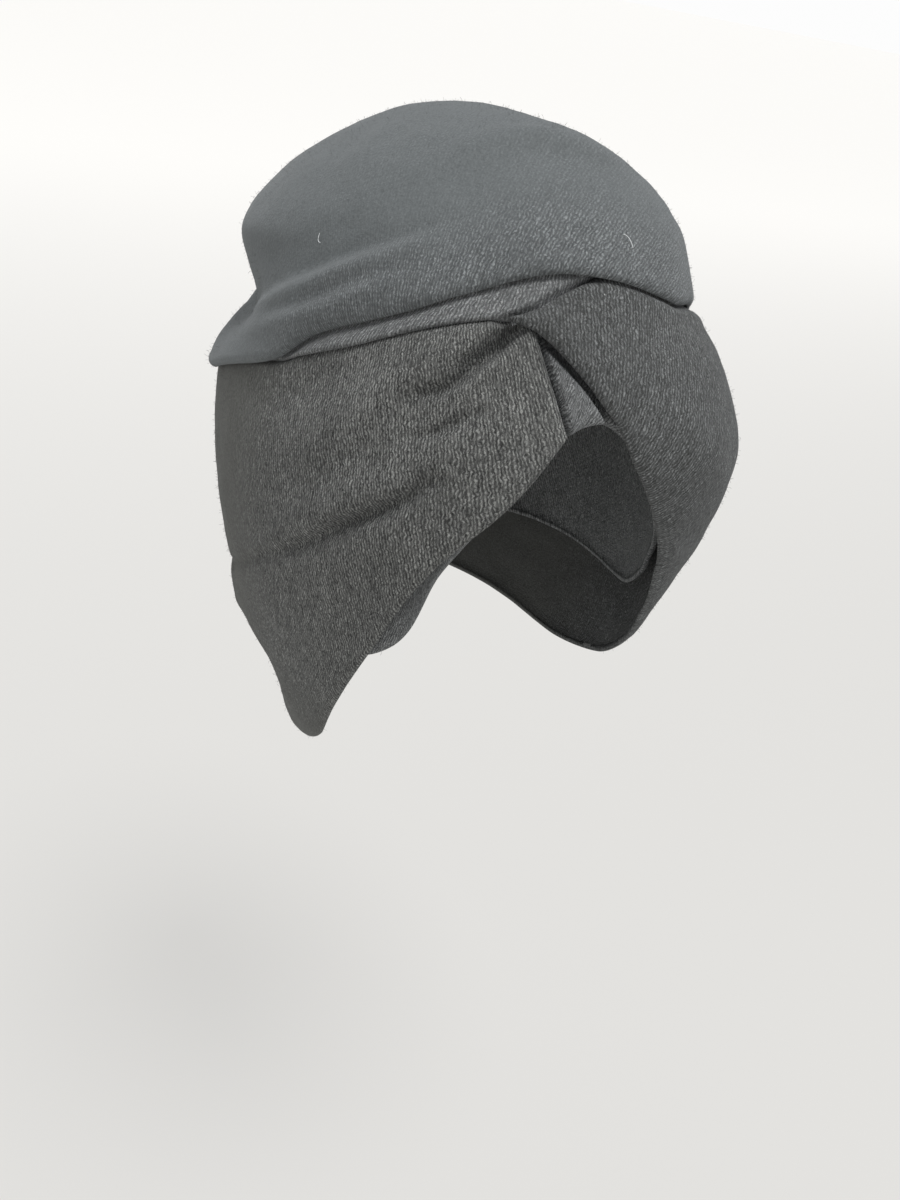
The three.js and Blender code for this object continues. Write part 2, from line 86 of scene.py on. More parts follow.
sky = bpy.data.worlds.new("sky")
sky.use_nodes = True
sky_tree = sky.node_tree
sky_way = sky_tree.nodes.new("ShaderNodeTexCoord")
sky_parts = sky_tree.nodes.new("ShaderNodeSeparateXYZ")
sky_ramp = sky_tree.nodes.new("ShaderNodeValToRGB")
for row, (share, colour) in enumerate(SKY):
    if row < 2:
        stop = sky_ramp.color_ramp.elements[row]
        stop.position = share
    else:
        stop = sky_ramp.color_ramp.elements.new(share)
    stop.color = colour
sky_tree.links.new(sky_way.outputs["Generated"], sky_parts.inputs["Vector"])
sky_tree.links.new(sky_parts.outputs["Z"], sky_ramp.inputs["Fac"])
sky_tree.links.new(sky_ramp.outputs["Color"], sky_tree.nodes["Background"].inputs["Color"])
bpy.context.scene.world = sky


def soft_lamp(name, place, aim, size, watts):
    lamp = bpy.data.lights.new(name, "AREA")
    lamp.shape = "DISK"
    lamp.size = size
    lamp.energy = watts
    holder = bpy.data.objects.new(name, lamp)
    holder.location = place
    holder.rotation_euler = (Vector(aim) - Vector(place)).to_track_quat("-Z", "Y").to_euler()
    bpy.context.scene.collection.objects.link(holder)


soft_lamp("overhead_lamp", (0.2, -1.1, 3.3), (0, 0, 0), 1.4, 80)

# The camera looks down at the wearer's right temple and is tipped a little, as in the photograph.
CAMERA_AZIMUTH = math.radians(-31)
CAMERA_ELEVATION = math.radians(28.85)
CAMERA_ROLL = math.radians(11.24)
CAMERA_TARGET = Vector((0.01378, 0, -0.06291))
CAMERA_DISTANCE = 0.46595
FOCAL_PIXELS = 1150
FRAME_HEIGHT_PIXELS = 1200
SENSOR = 36

towards = Vector((math.sin(CAMERA_AZIMUTH) * math.cos(CAMERA_ELEVATION),
                  -math.cos(CAMERA_AZIMUTH) * math.cos(CAMERA_ELEVATION),
                  math.sin(CAMERA_ELEVATION)))
level_right = (-towards).cross(Vector((0, 0, 1))).normalized()
level_up = level_right.cross(-towards)
camera_right = math.cos(CAMERA_ROLL) * level_right + math.sin(CAMERA_ROLL) * level_up
camera_up = -math.sin(CAMERA_ROLL) * level_right + math.cos(CAMERA_ROLL) * level_up
camera_data = bpy.data.cameras.new("camera")
camera_data.sensor_width = SENSOR
camera_data.lens = SENSOR * FOCAL_PIXELS / FRAME_HEIGHT_PIXELS
camera = bpy.data.objects.new("camera", camera_data)
camera_place = CAMERA_TARGET + CAMERA_DISTANCE * towards
camera.matrix_world = Matrix.Translation(camera_place) @ Matrix(
    (camera_right, camera_up, towards)).transposed().to_4x4()
bpy.context.scene.collection.objects.link(camera)
bpy.context.scene.camera = camera


# The under band: a flat strip of the same felted knit, sewn in behind the hems of both wraps. It
# lies on the forehead and shows between the two wraps at the brow, and at the right temple. Like
# every piece it is laid out by heading, latitude and stand-off over the form of the head.
HEAD_HALF = np.array((0.074, 0.095, 0.105))
HEAD_DROP = 0.150
HEAD_CENTRE = np.array((0, 0.004, 0.005))
BAND_STANDOFF = 0.0026
BAND_WALL = 0.0020
BAND_GAP = 0.0012
BAND_CELLS = (260, 34)
BAND_EDGES = (
    # share, top heading, top latitude, hem heading, hem latitude
    (0, -180, 6, -180, -34), (0.1, -130, 8, -128, -35), (0.18, -88, 10, -82, -39),
    (0.24, -60, 16, -50, -36), (0.3, -42, 24, -31.6, -25), (0.37, -26, 35, -24.6, -4.5),
    (0.46, -14, 43, -12.6, 17), (0.52, -5, 44, -6.3, 24.3), (0.57, 0, 44, -0.8, 26.4),
    (0.62, 6, 43, 5, 25.6), (0.68, 14, 38, 12, 20), (0.75, 32, 28, 29, 0),
    (0.82, 62, 16, 54, -27), (0.9, 122, 8, 118, -35), (1, 180, 6, 180, -34),
)
BAND_RISE = 0.0050


def through(xs, ys, x):
    """A smooth line through the rows of a table; ys may hold a column for each x."""
    xs = np.asarray(xs, float)
    ys = np.asarray(ys, float)
    x = np.clip(np.asarray(x, float), xs[0], xs[-1])
    if ys.ndim == 1:
        ys = np.repeat(ys[:, None], x.size, axis=1)
    before = np.maximum(np.arange(len(xs)) - 1, 0)
    after = np.minimum(np.arange(len(xs)) + 1, len(xs) - 1)
    slopes = (ys[after] - ys[before]) / (xs[after] - xs[before])[:, None]
    low = np.clip(np.searchsorted(xs, x) - 1, 0, len(xs) - 2)
    step = xs[low + 1] - xs[low]
    t = (x - xs[low]) / step
    each = np.arange(x.size)
    bend = t * t * (3 - 2 * t)
    turn = slopes[low, each] * t * (1 - t) ** 2 + slopes[low + 1, each] * t * t * (t - 1)
    return ys[low, each] * (1 - bend) + ys[low + 1, each] * bend + step * turn


def ease(x, low, high):
    t = np.clip((np.asarray(x, float) - low) / (high - low), 0, 1)
    return t * t * (3 - 2 * t)


def lower(a, b, round_by=0.0012):
    """The lower of two heights, with the corner between them rounded."""
    part = np.clip(0.5 + (b - a) / (2 * round_by), 0, 1)
    return b + (a - b) * part - round_by * part * (1 - part)


def on_head(heading, latitude):
    """Places on the head, and the directions square to it there."""
    turn = np.radians(np.atleast_1d(heading))
    lift = np.radians(np.atleast_1d(latitude))
    way = np.stack((np.cos(lift) * np.sin(turn), -np.cos(lift) * np.cos(turn), np.sin(lift)), 1)
    half = np.repeat(HEAD_HALF[None], len(way), axis=0)
    half[:, 2] = np.where(way[:, 2] > 0, half[:, 2], HEAD_DROP)
    reach = 1 / np.linalg.norm(way / half, axis=1)
    square = way / half ** 2
    square /= np.linalg.norm(square, axis=1)[:, None]
    return HEAD_CENTRE + way * reach[:, None], square


def read_form(form, headings, level, heading):
    """A table of levels and headings, read smoothly both ways."""
    levels = [row[0] for row in form]
    across = np.stack([through(headings, row[1], heading) for row in form])
    if levels[0] > levels[-1]:
        return through(levels[::-1], across[::-1], level)
    return through(levels, across, level)


def fold_height(folds, heading, latitude):
    """The height of all folds of a table. A row is its places, its heights there, its half width."""
    here, square = on_head(heading, latitude)
    total = np.zeros(len(here))
    for path, heights, width in folds:
        steps = np.linspace(0, len(path) - 1, 12 * len(path))
        rows = np.arange(len(path))
        along_heading = through(rows, [place[0] for place in path], steps)
        along_latitude = through(rows, [place[1] for place in path], steps)
        line = on_head(along_heading, along_latitude)[0]
        strength = through(rows, heights, steps)
        gaps = np.linalg.norm(here[:, None] - line[None], axis=2)
        nearest = np.argmin(gaps, axis=1)
        gap = gaps[np.arange(len(here)), nearest]
        total += strength[nearest] * np.exp(-0.5 * (gap / width) ** 2)
    return total


def between(edges):
    """The heading and latitude at a share of the length and a share of the height, hem to top."""
    shares = [row[0] for row in edges]

    def place(u, v):
        top_h, top_l, hem_h, hem_l = (
            through(shares, [row[k] for row in edges], u) for k in range(1, 5))
        return hem_h + (top_h - hem_h) * v, hem_l + (top_l - hem_l) * v

    return place


def felted(points, grain, depth):
    """The slight unevenness that felting leaves in the cloth."""
    return np.array([depth * noise.noise(Vector(point) / grain) for point in points])


EDGE_ZONE = 0.0056
EDGE_ROWS = 12


def near_edges(share, rows, length, low, high):
    """Shares of a length with finer steps near its edges, where low and high ask for them."""
    zone = np.minimum(EDGE_ZONE / length, 0.3)
    part = EDGE_ROWS / rows
    start = part if low else 0
    end = 1 - part if high else 1
    inner = zone * low + (1 - zone * (low + high)) * (share - start) / (end - start)
    first = zone * np.clip(share / part, 0, 1) ** 1.7
    last = 1 - zone * np.clip((1 - share) / part, 0, 1) ** 1.7
    return np.where(share < start, first, np.where(share > end, last, inner))


def turned(share, length, wall, roll):
    """How far an edge at share 0 falls away from the skin, as it rolls in over roll walls."""
    near = np.clip(1 - share * length / (roll * wall), 0, 1)
    return wall * (1 - np.sqrt(1 - near ** 2))


def lay_cloth(name, cells, place, skin, wall, edges, openness, wale_map=None,
              crowd=1.0, roll=2.0):
    """A skin of cloth laid from a grid of stitches, with its wall. Edges lists which of its
    start, end, hem and top are open; an open edge turns in to the head. Openness is how far
    the stitches show, from 0 where felting has closed them to 1, and crowd moves the grid's
    columns towards the start."""
    shape = bmesh.new()
    stitches = shape.loops.layers.uv.new("knit")
    opened = shape.verts.layers.float.new("open_knit")
    bmesh.ops.create_grid(shape, x_segments=cells[0], y_segments=cells[1], size=0.5)
    shape.verts.ensure_lookup_table()
    u = np.array([vert.co.x + 0.5 for vert in shape.verts])
    v = np.array([vert.co.y + 0.5 for vert in shape.verts])
    columns = np.rint(u * cells[0]).astype(int)
    rows = np.rint(v * cells[1]).astype(int)
    middle = np.full(51, 0.5)
    steps = np.diff(on_head(*place(np.linspace(0, 1, 51), middle))[0], axis=0)
    long = np.full(len(u), np.linalg.norm(steps, axis=1).sum())
    u = near_edges(u, cells[0], long, "start" in edges, "end" in edges) ** crowd
    hem_points = on_head(*place(u, np.zeros(len(u))))[0]
    high = np.linalg.norm(on_head(*place(u, np.ones(len(u))))[0] - hem_points, axis=1) + 1e-4
    v = near_edges(v, cells[1], high, "hem" in edges, "top" in edges)
    heading, latitude = place(u, v)
    points, square = on_head(heading, latitude)
    standoff = skin(heading, latitude, u, v)
    standoff += felted(points, 0.011, 0.0005) + felted(points, 0.004, 0.00012)
    falls = {"start": turned(u, long, wall, roll), "end": turned(1 - u, long, wall, roll),
             "hem": turned(v, high, wall, roll), "top": turned(1 - v, high, wall, roll)}
    standoff -= np.max([falls[edge] for edge in edges], axis=0)
    laid = points + square * standoff[:, None]
    for vert, spot, share in zip(shape.verts, laid, openness(heading, latitude)):
        vert.co = spot
        vert[opened] = share
    grid = np.zeros((cells[0] + 1, cells[1] + 1, 3))
    grid[columns, rows] = laid
    if wale_map is None:
        middle = grid[:, cells[1] // 2]
        along = np.insert(np.cumsum(np.linalg.norm(np.diff(middle, axis=0), axis=1)), 0, 0)
        up = np.cumsum(np.linalg.norm(np.diff(grid, axis=1), axis=2), axis=1)
        up = np.concatenate((np.zeros((cells[0] + 1, 1)), up), axis=1)
        knit = np.stack((along[columns], up[columns, rows]), 1)
    else:
        knit = wale_map(heading, latitude)
    for face in shape.faces:
        for loop in face.loops:
            loop[stitches].uv = knit[loop.vert.index]
    bmesh.ops.remove_doubles(shape, verts=shape.verts, dist=0.00002)
    bmesh.ops.recalc_face_normals(shape, faces=shape.faces)
    outward = sum(face.normal.dot(face.calc_center_median() - Vector(HEAD_CENTRE))
                  for face in shape.faces)
    if outward < 0:
        bmesh.ops.reverse_faces(shape, faces=shape.faces)
    for face in shape.faces:
        face.smooth = True
    mesh = bpy.data.meshes.new(name)
    shape.to_mesh(mesh)
    shape.free()
    cloth = bpy.data.objects.new(name, mesh)
    bpy.context.scene.collection.objects.link(cloth)
    body = cloth.modifiers.new("wall", "SOLIDIFY")
    body.thickness = wall
    body.offset = -1
    body.use_even_offset = False
    return cloth, grid


KNIT_WALE = 0.0023
KNIT_COURSE = 0.0018
KNIT_LEAN = 1.5


def knit_cloth(name, felted_colour, yarn, fleck, flecks, sheen, gauge=1.0, turn=0.0):
    """Stocking-stitch: rows of small Vs of pale flecked yarn, closed by felting in places."""
    material = bpy.data.materials.new(name)
    material.use_nodes = True
    tree = material.node_tree
    shader = tree.nodes["Principled BSDF"]
    shader.inputs["Roughness"].default_value = 0.92
    shader.inputs["Specular IOR Level"].default_value = 0.2
    shader.inputs["Sheen Weight"].default_value = sheen
    shader.inputs["Sheen Roughness"].default_value = 0.45
    shader.inputs["Sheen Tint"].default_value = (0.93, 0.96, 0.98, 1)

    def math_node(operation, a, b=None, c=None):
        node = tree.nodes.new("ShaderNodeMath")
        node.operation = operation
        for socket, value in zip(node.inputs, (a, b, c)):
            if isinstance(value, (int, float)):
                socket.default_value = value
            elif value is not None:
                tree.links.new(value, socket)
        return node.outputs[0]

    def noise_node(vector, scale, detail, roughness=0.5):
        node = tree.nodes.new("ShaderNodeTexNoise")
        node.inputs["Scale"].default_value = scale
        node.inputs["Detail"].default_value = detail
        node.inputs["Roughness"].default_value = roughness
        tree.links.new(vector, node.inputs["Vector"])
        return node

    def stretch(value, low, high):
        node = tree.nodes.new("ShaderNodeMapRange")
        node.interpolation_type = "SMOOTHSTEP"
        node.inputs["From Min"].default_value = low
        node.inputs["From Max"].default_value = high
        tree.links.new(value, node.inputs["Value"])
        return node.outputs["Result"]

    where = tree.nodes.new("ShaderNodeTexCoord")
    stitches = tree.nodes.new("ShaderNodeUVMap")
    stitches.uv_map = "knit"
    sway = noise_node(where.outputs["Object"], 330, 4, 0.75)
    sway_parts = tree.nodes.new("ShaderNodeSeparateColor")
    tree.links.new(sway.outputs["Color"], sway_parts.inputs["Color"])
    turned_knit = tree.nodes.new("ShaderNodeVectorRotate")
    turned_knit.rotation_type = "Z_AXIS"
    turned_knit.inputs["Angle"].default_value = turn
    tree.links.new(stitches.outputs["UV"], turned_knit.inputs["Vector"])
    knit = tree.nodes.new("ShaderNodeSeparateXYZ")
    tree.links.new(turned_knit.outputs["Vector"], knit.inputs["Vector"])
    wale = math_node("DIVIDE", knit.outputs["X"], KNIT_WALE * gauge)
    wale = math_node("MULTIPLY_ADD", sway_parts.outputs["Red"], 1.4, wale)
    course = math_node("DIVIDE", knit.outputs["Y"], KNIT_COURSE * gauge)
    course = math_node("MULTIPLY_ADD", sway_parts.outputs["Green"], 2.6, course)
    across = math_node("SUBTRACT", math_node("FRACT", wale), 0.5)
    off_middle = math_node("ABSOLUTE", across)
    leaning = math_node("MULTIPLY_ADD", off_middle, KNIT_LEAN, course)
    strand = math_node("SINE", math_node("MULTIPLY", math_node("FRACT", leaning), math.pi))
    leg = math_node("SINE", math_node("MULTIPLY", off_middle, 2 * math.pi))
    stitch = math_node("MULTIPLY", math_node("POWER", strand, 0.8), math_node("POWER", leg, 3.4))

    # Stray strokes of yarn break up the rows: they lie along the legs of the Vs.
    legs = tree.nodes.new("ShaderNodeCombineXYZ")
    tree.links.new(math_node("MULTIPLY", wale, 3.4), legs.inputs["X"])
    tree.links.new(math_node("MULTIPLY", leaning, 0.9), legs.inputs["Y"])
    tree.links.new(math_node("MULTIPLY", math_node("SIGN", across), 5.5), legs.inputs["Z"])
    stray = noise_node(legs.outputs["Vector"], 1, 2, 0.6)
    stroke = stretch(stray.outputs["Fac"], 0.36, 0.62)
    stitch = math_node("MULTIPLY_ADD", stitch, 0.85, math_node("MULTIPLY", stroke, 0.15))
    stitch = math_node("MULTIPLY", stitch, math_node("MULTIPLY_ADD", stroke, 0.75, 0.45))

    felt = noise_node(where.outputs["Object"], 1100, 3, 0.65)
    broad = noise_node(where.outputs["Object"], 34, 3)
    worn = math_node("MULTIPLY_ADD", broad.outputs["Fac"], 0.8, 0.6)
    open_knit = tree.nodes.new("ShaderNodeAttribute")
    open_knit.attribute_name = "open_knit"
    openness = open_knit.outputs["Fac"]
    stitch = math_node("MULTIPLY", stitch, openness)
    lit = math_node("MULTIPLY", math_node("MULTIPLY", stitch, worn), flecks)
    lit = math_node("MULTIPLY_ADD", felt.outputs["Fac"], 0.4, lit)
    lit = math_node("SUBTRACT", lit, 0.16)
    tint = tree.nodes.new("ShaderNodeMix")
    tint.data_type = "RGBA"
    ground = tree.nodes.new("ShaderNodeMix")
    ground.data_type = "RGBA"
    ground.inputs["A"].default_value = felted_colour
    ground.inputs["B"].default_value = yarn
    tree.links.new(openness, ground.inputs["Factor"])
    tree.links.new(ground.outputs["Result"], tint.inputs["A"])
    tint.inputs["B"].default_value = fleck
    tree.links.new(lit, tint.inputs["Factor"])
    tree.links.new(tint.outputs["Result"], shader.inputs["Base Color"])
    height = math_node("MULTIPLY_ADD", felt.outputs["Fac"], 0.8, stitch)
    bump = tree.nodes.new("ShaderNodeBump")
    bump.inputs["Strength"].default_value = 0.9
    bump.inputs["Distance"].default_value = 0.0005
    tree.links.new(height, bump.inputs["Height"])
    tree.links.new(bump.outputs["Normal"], shader.inputs["Normal"])
    return material


FUZZ_THICKNESS = 0.000035
FUZZ_LENGTHS = (0.0004, 0.0014)


def fuzz(name, grid, count, seed, cloth_material):
    """Loose fibres that stand off the cloth, each a short bent thread."""
    chance = np.random.default_rng(seed)
    patches = np.cross(np.diff(grid, axis=0)[:, :-1], np.diff(grid, axis=1)[:-1])
    shares = np.linalg.norm(patches, axis=2).ravel()
    picks = chance.choice(shares.size, count, p=shares / shares.sum())
    columns, rows = np.unravel_index(picks, patches.shape[:2])
    roots = grid[columns, rows]
    outward = patches[columns, rows]
    outward /= np.linalg.norm(outward, axis=1)[:, None] + 1e-12
    outward *= np.sign((outward * (roots - HEAD_CENTRE)).sum(axis=1))[:, None]
    length = chance.uniform(*FUZZ_LENGTHS, count)[:, None]
    lean = chance.normal(0, 0.5, (count, 3))
    bend = chance.normal(0, 0.5, (count, 3))
    middles = roots + length * (0.3 * outward + 0.35 * lean)
    tips = middles + length * (0.2 * outward + 0.35 * lean + 0.35 * bend)
    fibres = bpy.data.curves.new(name, "CURVE")
    fibres.dimensions = "3D"
    fibres.bevel_depth = FUZZ_THICKNESS
    fibres.bevel_resolution = 0
    for thread in np.stack((roots - 0.0001 * outward, middles, tips), 1):
        line = fibres.splines.new("POLY")
        line.points.add(len(thread) - 1)
        line.points.foreach_set("co", np.insert(thread, 3, 1, axis=1).ravel())
    fibres.materials.append(cloth_material)
    piece = bpy.data.objects.new(name, fibres)
    bpy.context.scene.collection.objects.link(piece)
    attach(piece, "root")
    return piece


fuzz_knit = bpy.data.materials.new("fuzz_knit")
fuzz_knit.use_nodes = True
fuzz_knit.node_tree.nodes["Principled BSDF"].inputs["Base Color"].default_value = (
    0.15, 0.155, 0.155, 1)
fuzz_knit.node_tree.nodes["Principled BSDF"].inputs["Roughness"].default_value = 0.9


def dress(cloth, node, material, grid, fibres):
    cloth.data.materials.append(material)
    loose = fuzz(cloth.name + "_fuzz", grid, fibres, fibres, fuzz_knit)
    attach(cloth, "root")
    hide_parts(node)


# The wraps' forms are needed by the band, which gives way where a wrap dips. The right wrap is a
# fan of doubled felted knit. It is gathered at the knot above the brow, stretched over the temple
# and the ear down to a low tip at the jaw, and sewn to the left wrap down the back.
WRAP_WALL = 0.0024
WRAP_FULLNESS = 0.010
HEM_HUG = 0.0075
LAYER_GAP = 0.0012
SEAM_TURN = 0.01
RIGHT_CELLS = (280, 150)
RIGHT_EDGES = (
    # share, top heading, top latitude, hem heading, hem latitude
    (0, -14.8, 44, -6.6, 24.2), (0.08, -24, 44, -14.8, 11.9), (0.16, -33, 43, -23.4, 1),
    (0.25, -43, 41, -29.7, -11), (0.34, -54, 37.5, -35.3, -26), (0.43, -66, 33.5, -41.5, -40),
    (0.52, -79, 28.5, -47.6, -51.8), (0.56, -86, 25.8, -50.8, -57), (0.6, -92, 23, -56, -61),
    (0.65, -101, 19.8, -64, -64), (0.7, -110, 16.6, -75, -65.5), (0.75, -119, 14.2, -89, -64.5),
    (0.81, -131, 13.8, -105, -61), (0.89, -152, 14, -138, -52), (1, -180, 15.5, -180, -45),
)
RIGHT_HEADINGS = (-180, -150, -115, -90, -60, -30, 0)
RIGHT_FORM = (
    # latitude, shares of the fullness at the headings
    (45, (0.8, 0.75, 0.65, 0.64, 0.78, 0.86, 0.84)),
    (30, (0.8, 0.78, 0.75, 0.72, 0.82, 0.87, 0.82)),
    (10, (0.8, 0.84, 0.86, 0.86, 0.96, 0.9, 0.75)),
    (-10, (0.78, 0.76, 0.74, 0.84, 0.96, 0.82, 0.66)),
    (-25, (0.72, 0.66, 0.56, 0.74, 0.84, 0.72, 0.62)),
    (-39, (0.62, 0.5, 0.32, 0.54, 0.7, 0.64, 0.6)),
    (-47, (0.58, 0.44, 0.52, 0.46, 0.62, 0.6, 0.55)),
    (-51, (0.54, 0.25, 0.02, 0.12, 0.56, 0.57, 0.52)),
    (-57, (0.5, 0.06, -0.5, -0.2, 0.56, 0.5, 0.45)),
    (-66, (0.45, 0.2, 0.1, 0.16, 0.5, 0.47, 0.42)),
    (-72, (0.4, 0.35, 0.45, 0.45, 0.42, 0.45, 0.4)),
)
RIGHT_FOLDS = (
    # places as heading and latitude, heights there, half width
    (((-17.5, 41.6), (-20.5, 38.4), (-24, 35.4), (-27, 32.5), (-30.5, 29.8), (-38, 27.5)),
     (-0.006, -0.0078, -0.008, -0.0068, -0.004, 0), 0.0014),
    (((-19.5, 41.2), (-22.5, 38.6), (-26, 35.6), (-29.5, 32.6)),
     (-0.0015, -0.0032, -0.003, 0), 0.001),
    (((-22, 42), (-26, 39), (-33.5, 34), (-42, 27), (-51, 17), (-61, 8)),
     (0.0005, 0.002, 0.0036, 0.0034, 0.0024, 0), 0.0048),
    (((-19.5, 38), (-22.5, 34.5), (-26, 31), (-29.5, 28)),
     (0.0006, 0.0016, 0.0018, 0.0004), 0.0026),
    (((-21, 28.5), (-23, 27), (-27, 24.5), (-31, 22), (-36, 20)),
     (0, -0.0018, -0.0026, -0.002, 0), 0.0013),
    (((-16, 30), (-24, 21), (-33, 15)), (0, 0.0016, 0.0005), 0.006),
    (((-26, 16.5), (-29, 14), (-34, 9), (-40, 4), (-46, -1), (-52, -7), (-63, -16), (-84, -30),
      (-112, -42)),
     (0, -0.0024, -0.0042, -0.0045, -0.004, -0.003, -0.0018, -0.0015, -0.0015), 0.0016),
    (((-31, 17), (-38, 11.5), (-46, 5), (-56, -4), (-68, -14)),
     (0.0004, 0.0022, 0.0026, 0.0018, 0), 0.0042),
    (((-30, 9), (-36, 2), (-44, -8), (-52, -18)), (0, 0.0014, 0.0014, 0), 0.005),
    (((-48, 33), (-62, 24), (-80, 14)), (0, -0.0012, 0), 0.003),
)

# The left wrap is a soft roll of the same doubled knit. It starts in a point at the knot, crosses
# over the end of the right wrap and the strip, bulges over the left temple with its hem turned
# in to the head, and runs round to the seam at the back.
ROLL_FULLNESS = 0.022
LEFT_CELLS = (240, 120)
LEFT_EDGES = (
    # share, top heading, top latitude, hem heading, hem latitude
    (0, -19.2, 42.3, -19.1, 42), (0.05, -13.4, 44.1, -13.1, 40.1), (0.1, -7.9, 46.7, -7.6, 36.4),
    (0.145, -1.8, 48.9, -3.4, 32.7), (0.185, 4, 50.6, -0.2, 29.2), (0.23, 12, 51.3, 3, 25.8),
    (0.275, 21, 51, 6.8, 20.2), (0.325, 31, 50.3, 11.4, 14.4), (0.375, 43, 49.5, 16.4, 7.4),
    (0.43, 56, 46.5, 22, -1), (0.485, 70, 40.5, 27.4, -14), (0.545, 86, 33, 36, -30),
    (0.62, 104, 26, 53, -45), (0.715, 124, 20.5, 82, -54), (0.845, 150, 16.5, 124, -53),
    (1, 180, 15.5, 180, -45),
)
LEFT_HEADINGS = (-20, 0, 18, 36, 60, 90, 120, 180)
LEFT_FORM = (
    # latitude, shares of the fullness at the headings
    (49, (0.55, 0.5, 0.54, 0.56, 0.56, 0.56, 0.44, 0.36)),
    (42, (0.55, 0.5, 0.55, 0.6, 0.62, 0.57, 0.45, 0.36)),
    (36, (0.5, 0.49, 0.64, 0.74, 0.7, 0.56, 0.44, 0.36)),
    (29, (0.47, 0.48, 0.74, 0.87, 0.8, 0.57, 0.45, 0.36)),
    (20, (0.45, 0.46, 0.84, 1.02, 0.88, 0.6, 0.46, 0.36)),
    (11, (0.44, 0.46, 0.84, 0.98, 0.86, 0.6, 0.45, 0.36)),
    (3, (0.42, 0.48, 0.78, 0.88, 0.8, 0.57, 0.42, 0.36)),
    (-6, (0.4, 0.48, 0.66, 0.78, 0.74, 0.53, 0.39, 0.35)),
    (-15, (0.4, 0.45, 0.55, 0.66, 0.64, 0.48, 0.36, 0.34)),
    (-40, (0.3, 0.3, 0.34, 0.42, 0.42, 0.3, 0.2, 0.28)),
    (-64, (0.18, 0.18, 0.18, 0.18, 0.16, 0.08, 0.05, 0.2)),
)
LEFT_FOLDS = (
    # places as heading and latitude, heights there, half width
    (((-8, 44), (8, 40), (34, 34)), (0, -0.0012, 0), 0.007),
    (((16, 20), (30, 8), (44, -8)), (0, -0.0012, 0), 0.008),
)

# The crown is a loose bag of the same knit over the top of the head. It droops to the back right,
# where a valley pinches it in, and its rounded lower edge hangs over the strip all round.
CROWN_WALL = 0.0026
CROWN_FULLNESS = 0.020
CROWN_CELLS = (320, 100)
CROWN_EDGE = (
    # heading, latitude
    (-180, 11), (-160, 10.6), (-140, 9.8), (-128, 9.4), (-120, 9.6), (-112, 11.6), (-103, 15.6),
    (-92, 20.1), (-83, 23.4), (-77, 25.6), (-72, 28), (-67.5, 31.4), (-63.5, 34.2),
    (-57.3, 36.9), (-51.6, 38.7), (-40.9, 41.8), (-31.3, 44.7), (-21.8, 47.2), (-13.9, 48.8),
    (-5.5, 49.3), (1.5, 48.9), (9.3, 48), (17.3, 46.6), (25.2, 45.4), (42, 45), (60, 41.8),
    (80, 32.6), (100, 22), (125, 15.5), (150, 12), (180, 11),
)
CROWN_HEADINGS = (-180, -120, -60, 0, 45, 100, 180)
CROWN_FORM = (
    # rise from the edge to the top, shares of the fullness at the headings
    (0, (0.65, 0.66, 0.57, 0.7, 0.64, 0.78, 0.65)),
    (0.08, (0.7, 0.57, 0.65, 0.73, 0.7, 0.8, 0.7)),
    (0.15, (0.75, 0.56, 0.71, 0.75, 0.76, 0.8, 0.75)),
    (0.26, (0.83, 0.64, 0.78, 0.75, 0.86, 0.8, 0.83)),
    (0.33, (0.86, 0.72, 0.8, 0.76, 0.87, 0.83, 0.86)),
    (0.4, (0.88, 0.94, 0.82, 0.76, 0.87, 0.85, 0.88)),
    (0.54, (0.83, 0.87, 0.81, 0.77, 0.81, 0.82, 0.83)),
    (0.66, (0.76, 0.74, 0.78, 0.76, 0.74, 0.77, 0.76)),
    (0.77, (0.7, 0.67, 0.72, 0.72, 0.68, 0.7, 0.7)),
    (0.88, (0.62, 0.63, 0.64, 0.64, 0.6, 0.61, 0.62)),
    (1, (0.54, 0.54, 0.54, 0.54, 0.54, 0.54, 0.54)),
)
CROWN_FOLDS = (
    # places as heading and latitude, heights there, half width
    (((-165, 21), (-147, 23), (-127, 26.5), (-107, 32), (-88, 39), (-60, 50), (-36, 57),
      (-22, 61)),
     (0, -0.0045, -0.0105, -0.0085, -0.0035, -0.002, -0.0012, 0), 0.0076),
    (((-100, 31.5), (-88, 35.5), (-74, 40.5), (-58, 46.5), (-44, 51), (-30, 54.5)),
     (0, 0.0012, 0.0024, 0.0026, 0.002, 0), 0.0026),
    (((-96, 35), (-80, 41.5), (-62, 48.5), (-46, 53), (-32, 57)),
     (0, -0.0008, -0.0014, -0.001, 0), 0.0022),
    (((-94, 27.5), (-80, 32.5), (-66, 37.5), (-50, 44), (-36, 48)),
     (0, 0.0012, 0.0022, 0.0018, 0), 0.0026),
    (((-84, 33.5), (-70, 38.5), (-54, 44.5), (-40, 48.5)), (0, -0.001, -0.001, 0), 0.0018),
    (((-52, 65), (-30, 71), (-12, 73), (10, 72), (38, 68)), (0, 0.002, 0.003, 0.003, 0), 0.0036),
)

